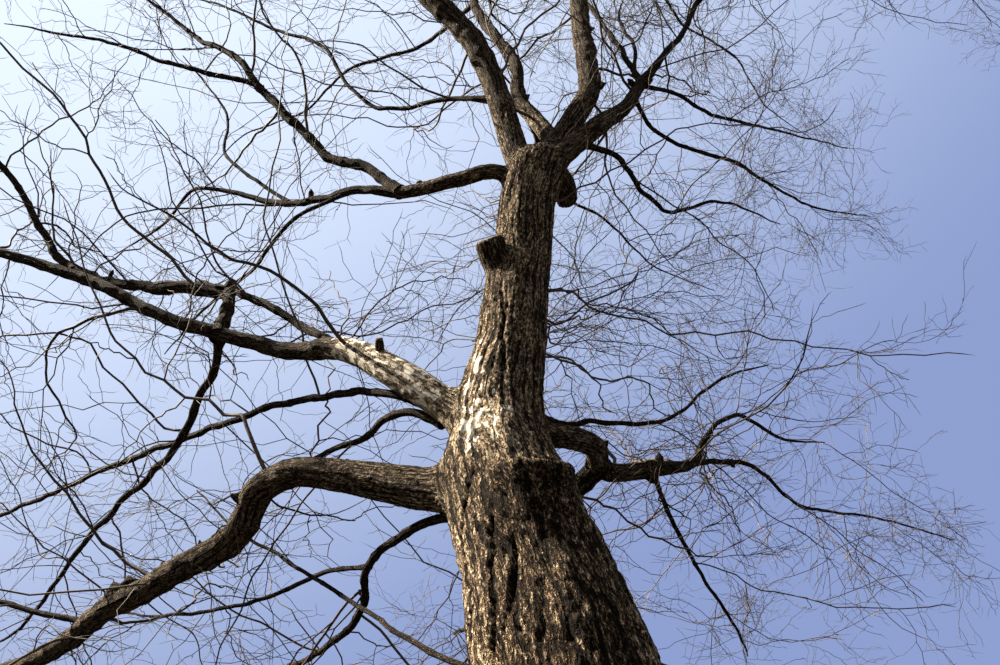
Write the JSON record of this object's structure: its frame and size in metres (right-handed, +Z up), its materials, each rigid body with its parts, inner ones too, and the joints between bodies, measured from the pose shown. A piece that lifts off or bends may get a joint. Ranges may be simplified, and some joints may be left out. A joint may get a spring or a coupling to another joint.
{
  "type": "bare winter tree",
  "caption": "Leafless broadleaf tree in winter: a leaning trunk flared at its foot, sawn stubs, and crooked boughs that thin out into a wide, open crown.",
  "frame": {"origin": "the centre of the flat cut under the trunk, at ground level", "axes": "+Z up, +X to the right and +Y away from the viewer of the picture"},
  "size_m": [10.6469, 9.2078, 12.605],
  "materials": {
    "trunk_bark": "furrowed bark in long plates, matt",
    "bough_bark": "bark with shallow furrows and wrinkled collars, matt",
    "limb_bark": "thin dark bark, nearly smooth, matt",
    "stub_wood": "bark round weathered sawn wood, matt"
  },
  "bodies": {
    "root": {"back_bough": "bough_bark", "back_bough_side_a": "limb_bark", "back_bough_side_b": "limb_bark", "back_leader": "bough_bark", "back_left_bough": "limb_bark", "back_left_limb": "limb_bark", "back_left_shoot": "limb_bark", "back_right_bough": "limb_bark", "back_right_limb": "limb_bark", "behind_trunk_limb": "bough_bark", "centre_leader": "bough_bark", "collar_stub": "stub_wood", "front_bough": "bough_bark", "front_bough_side_a": "limb_bark", "front_bough_side_b": "limb_bark", "front_left_bough": "bough_bark", "front_left_bough_side_a": "limb_bark", "front_right_bough": "bough_bark", "front_right_bough_side_a": "limb_bark", "hanging_stub": "stub_wood", "high_back_bough": "limb_bark", "high_front_bough": "limb_bark", "high_left_bough": "limb_bark", "high_left_limb": "limb_bark", "high_right_bough": "limb_bark", "left_leader": "bough_bark", "left_leader_outer": "bough_bark", "low_back_limb": "limb_bark", "low_back_shoot": "limb_bark", "low_back_side": "limb_bark", "low_left_bough": "bough_bark", "low_left_bough_outer": "bough_bark", "low_left_bough_side_a": "limb_bark", "low_left_bough_side_b": "limb_bark", "mid_left_bough": "bough_bark", "mid_left_hanger": "limb_bark", "mid_left_riser": "bough_bark", "mid_left_side": "limb_bark", "right_arch": "bough_bark", "right_arch_side_a": "limb_bark", "right_arch_side_b": "limb_bark", "right_back_limb": "limb_bark", "right_bough": "bough_bark", "right_fork": "limb_bark", "right_front_bough": "limb_bark", "right_leader": "bough_bark", "right_leader_back": "limb_bark", "right_leader_inner": "limb_bark", "right_leader_low": "limb_bark", "right_leader_side": "limb_bark", "right_leader_upright": "limb_bark", "trunk": "trunk_bark", "upper_left_bough": "bough_bark", "upper_left_drooper": "limb_bark", "upper_left_riser": "bough_bark", "upper_left_shoot": "limb_bark", "upper_left_side": "limb_bark", "upper_stub": "stub_wood"}
  },
  "joints": []
}
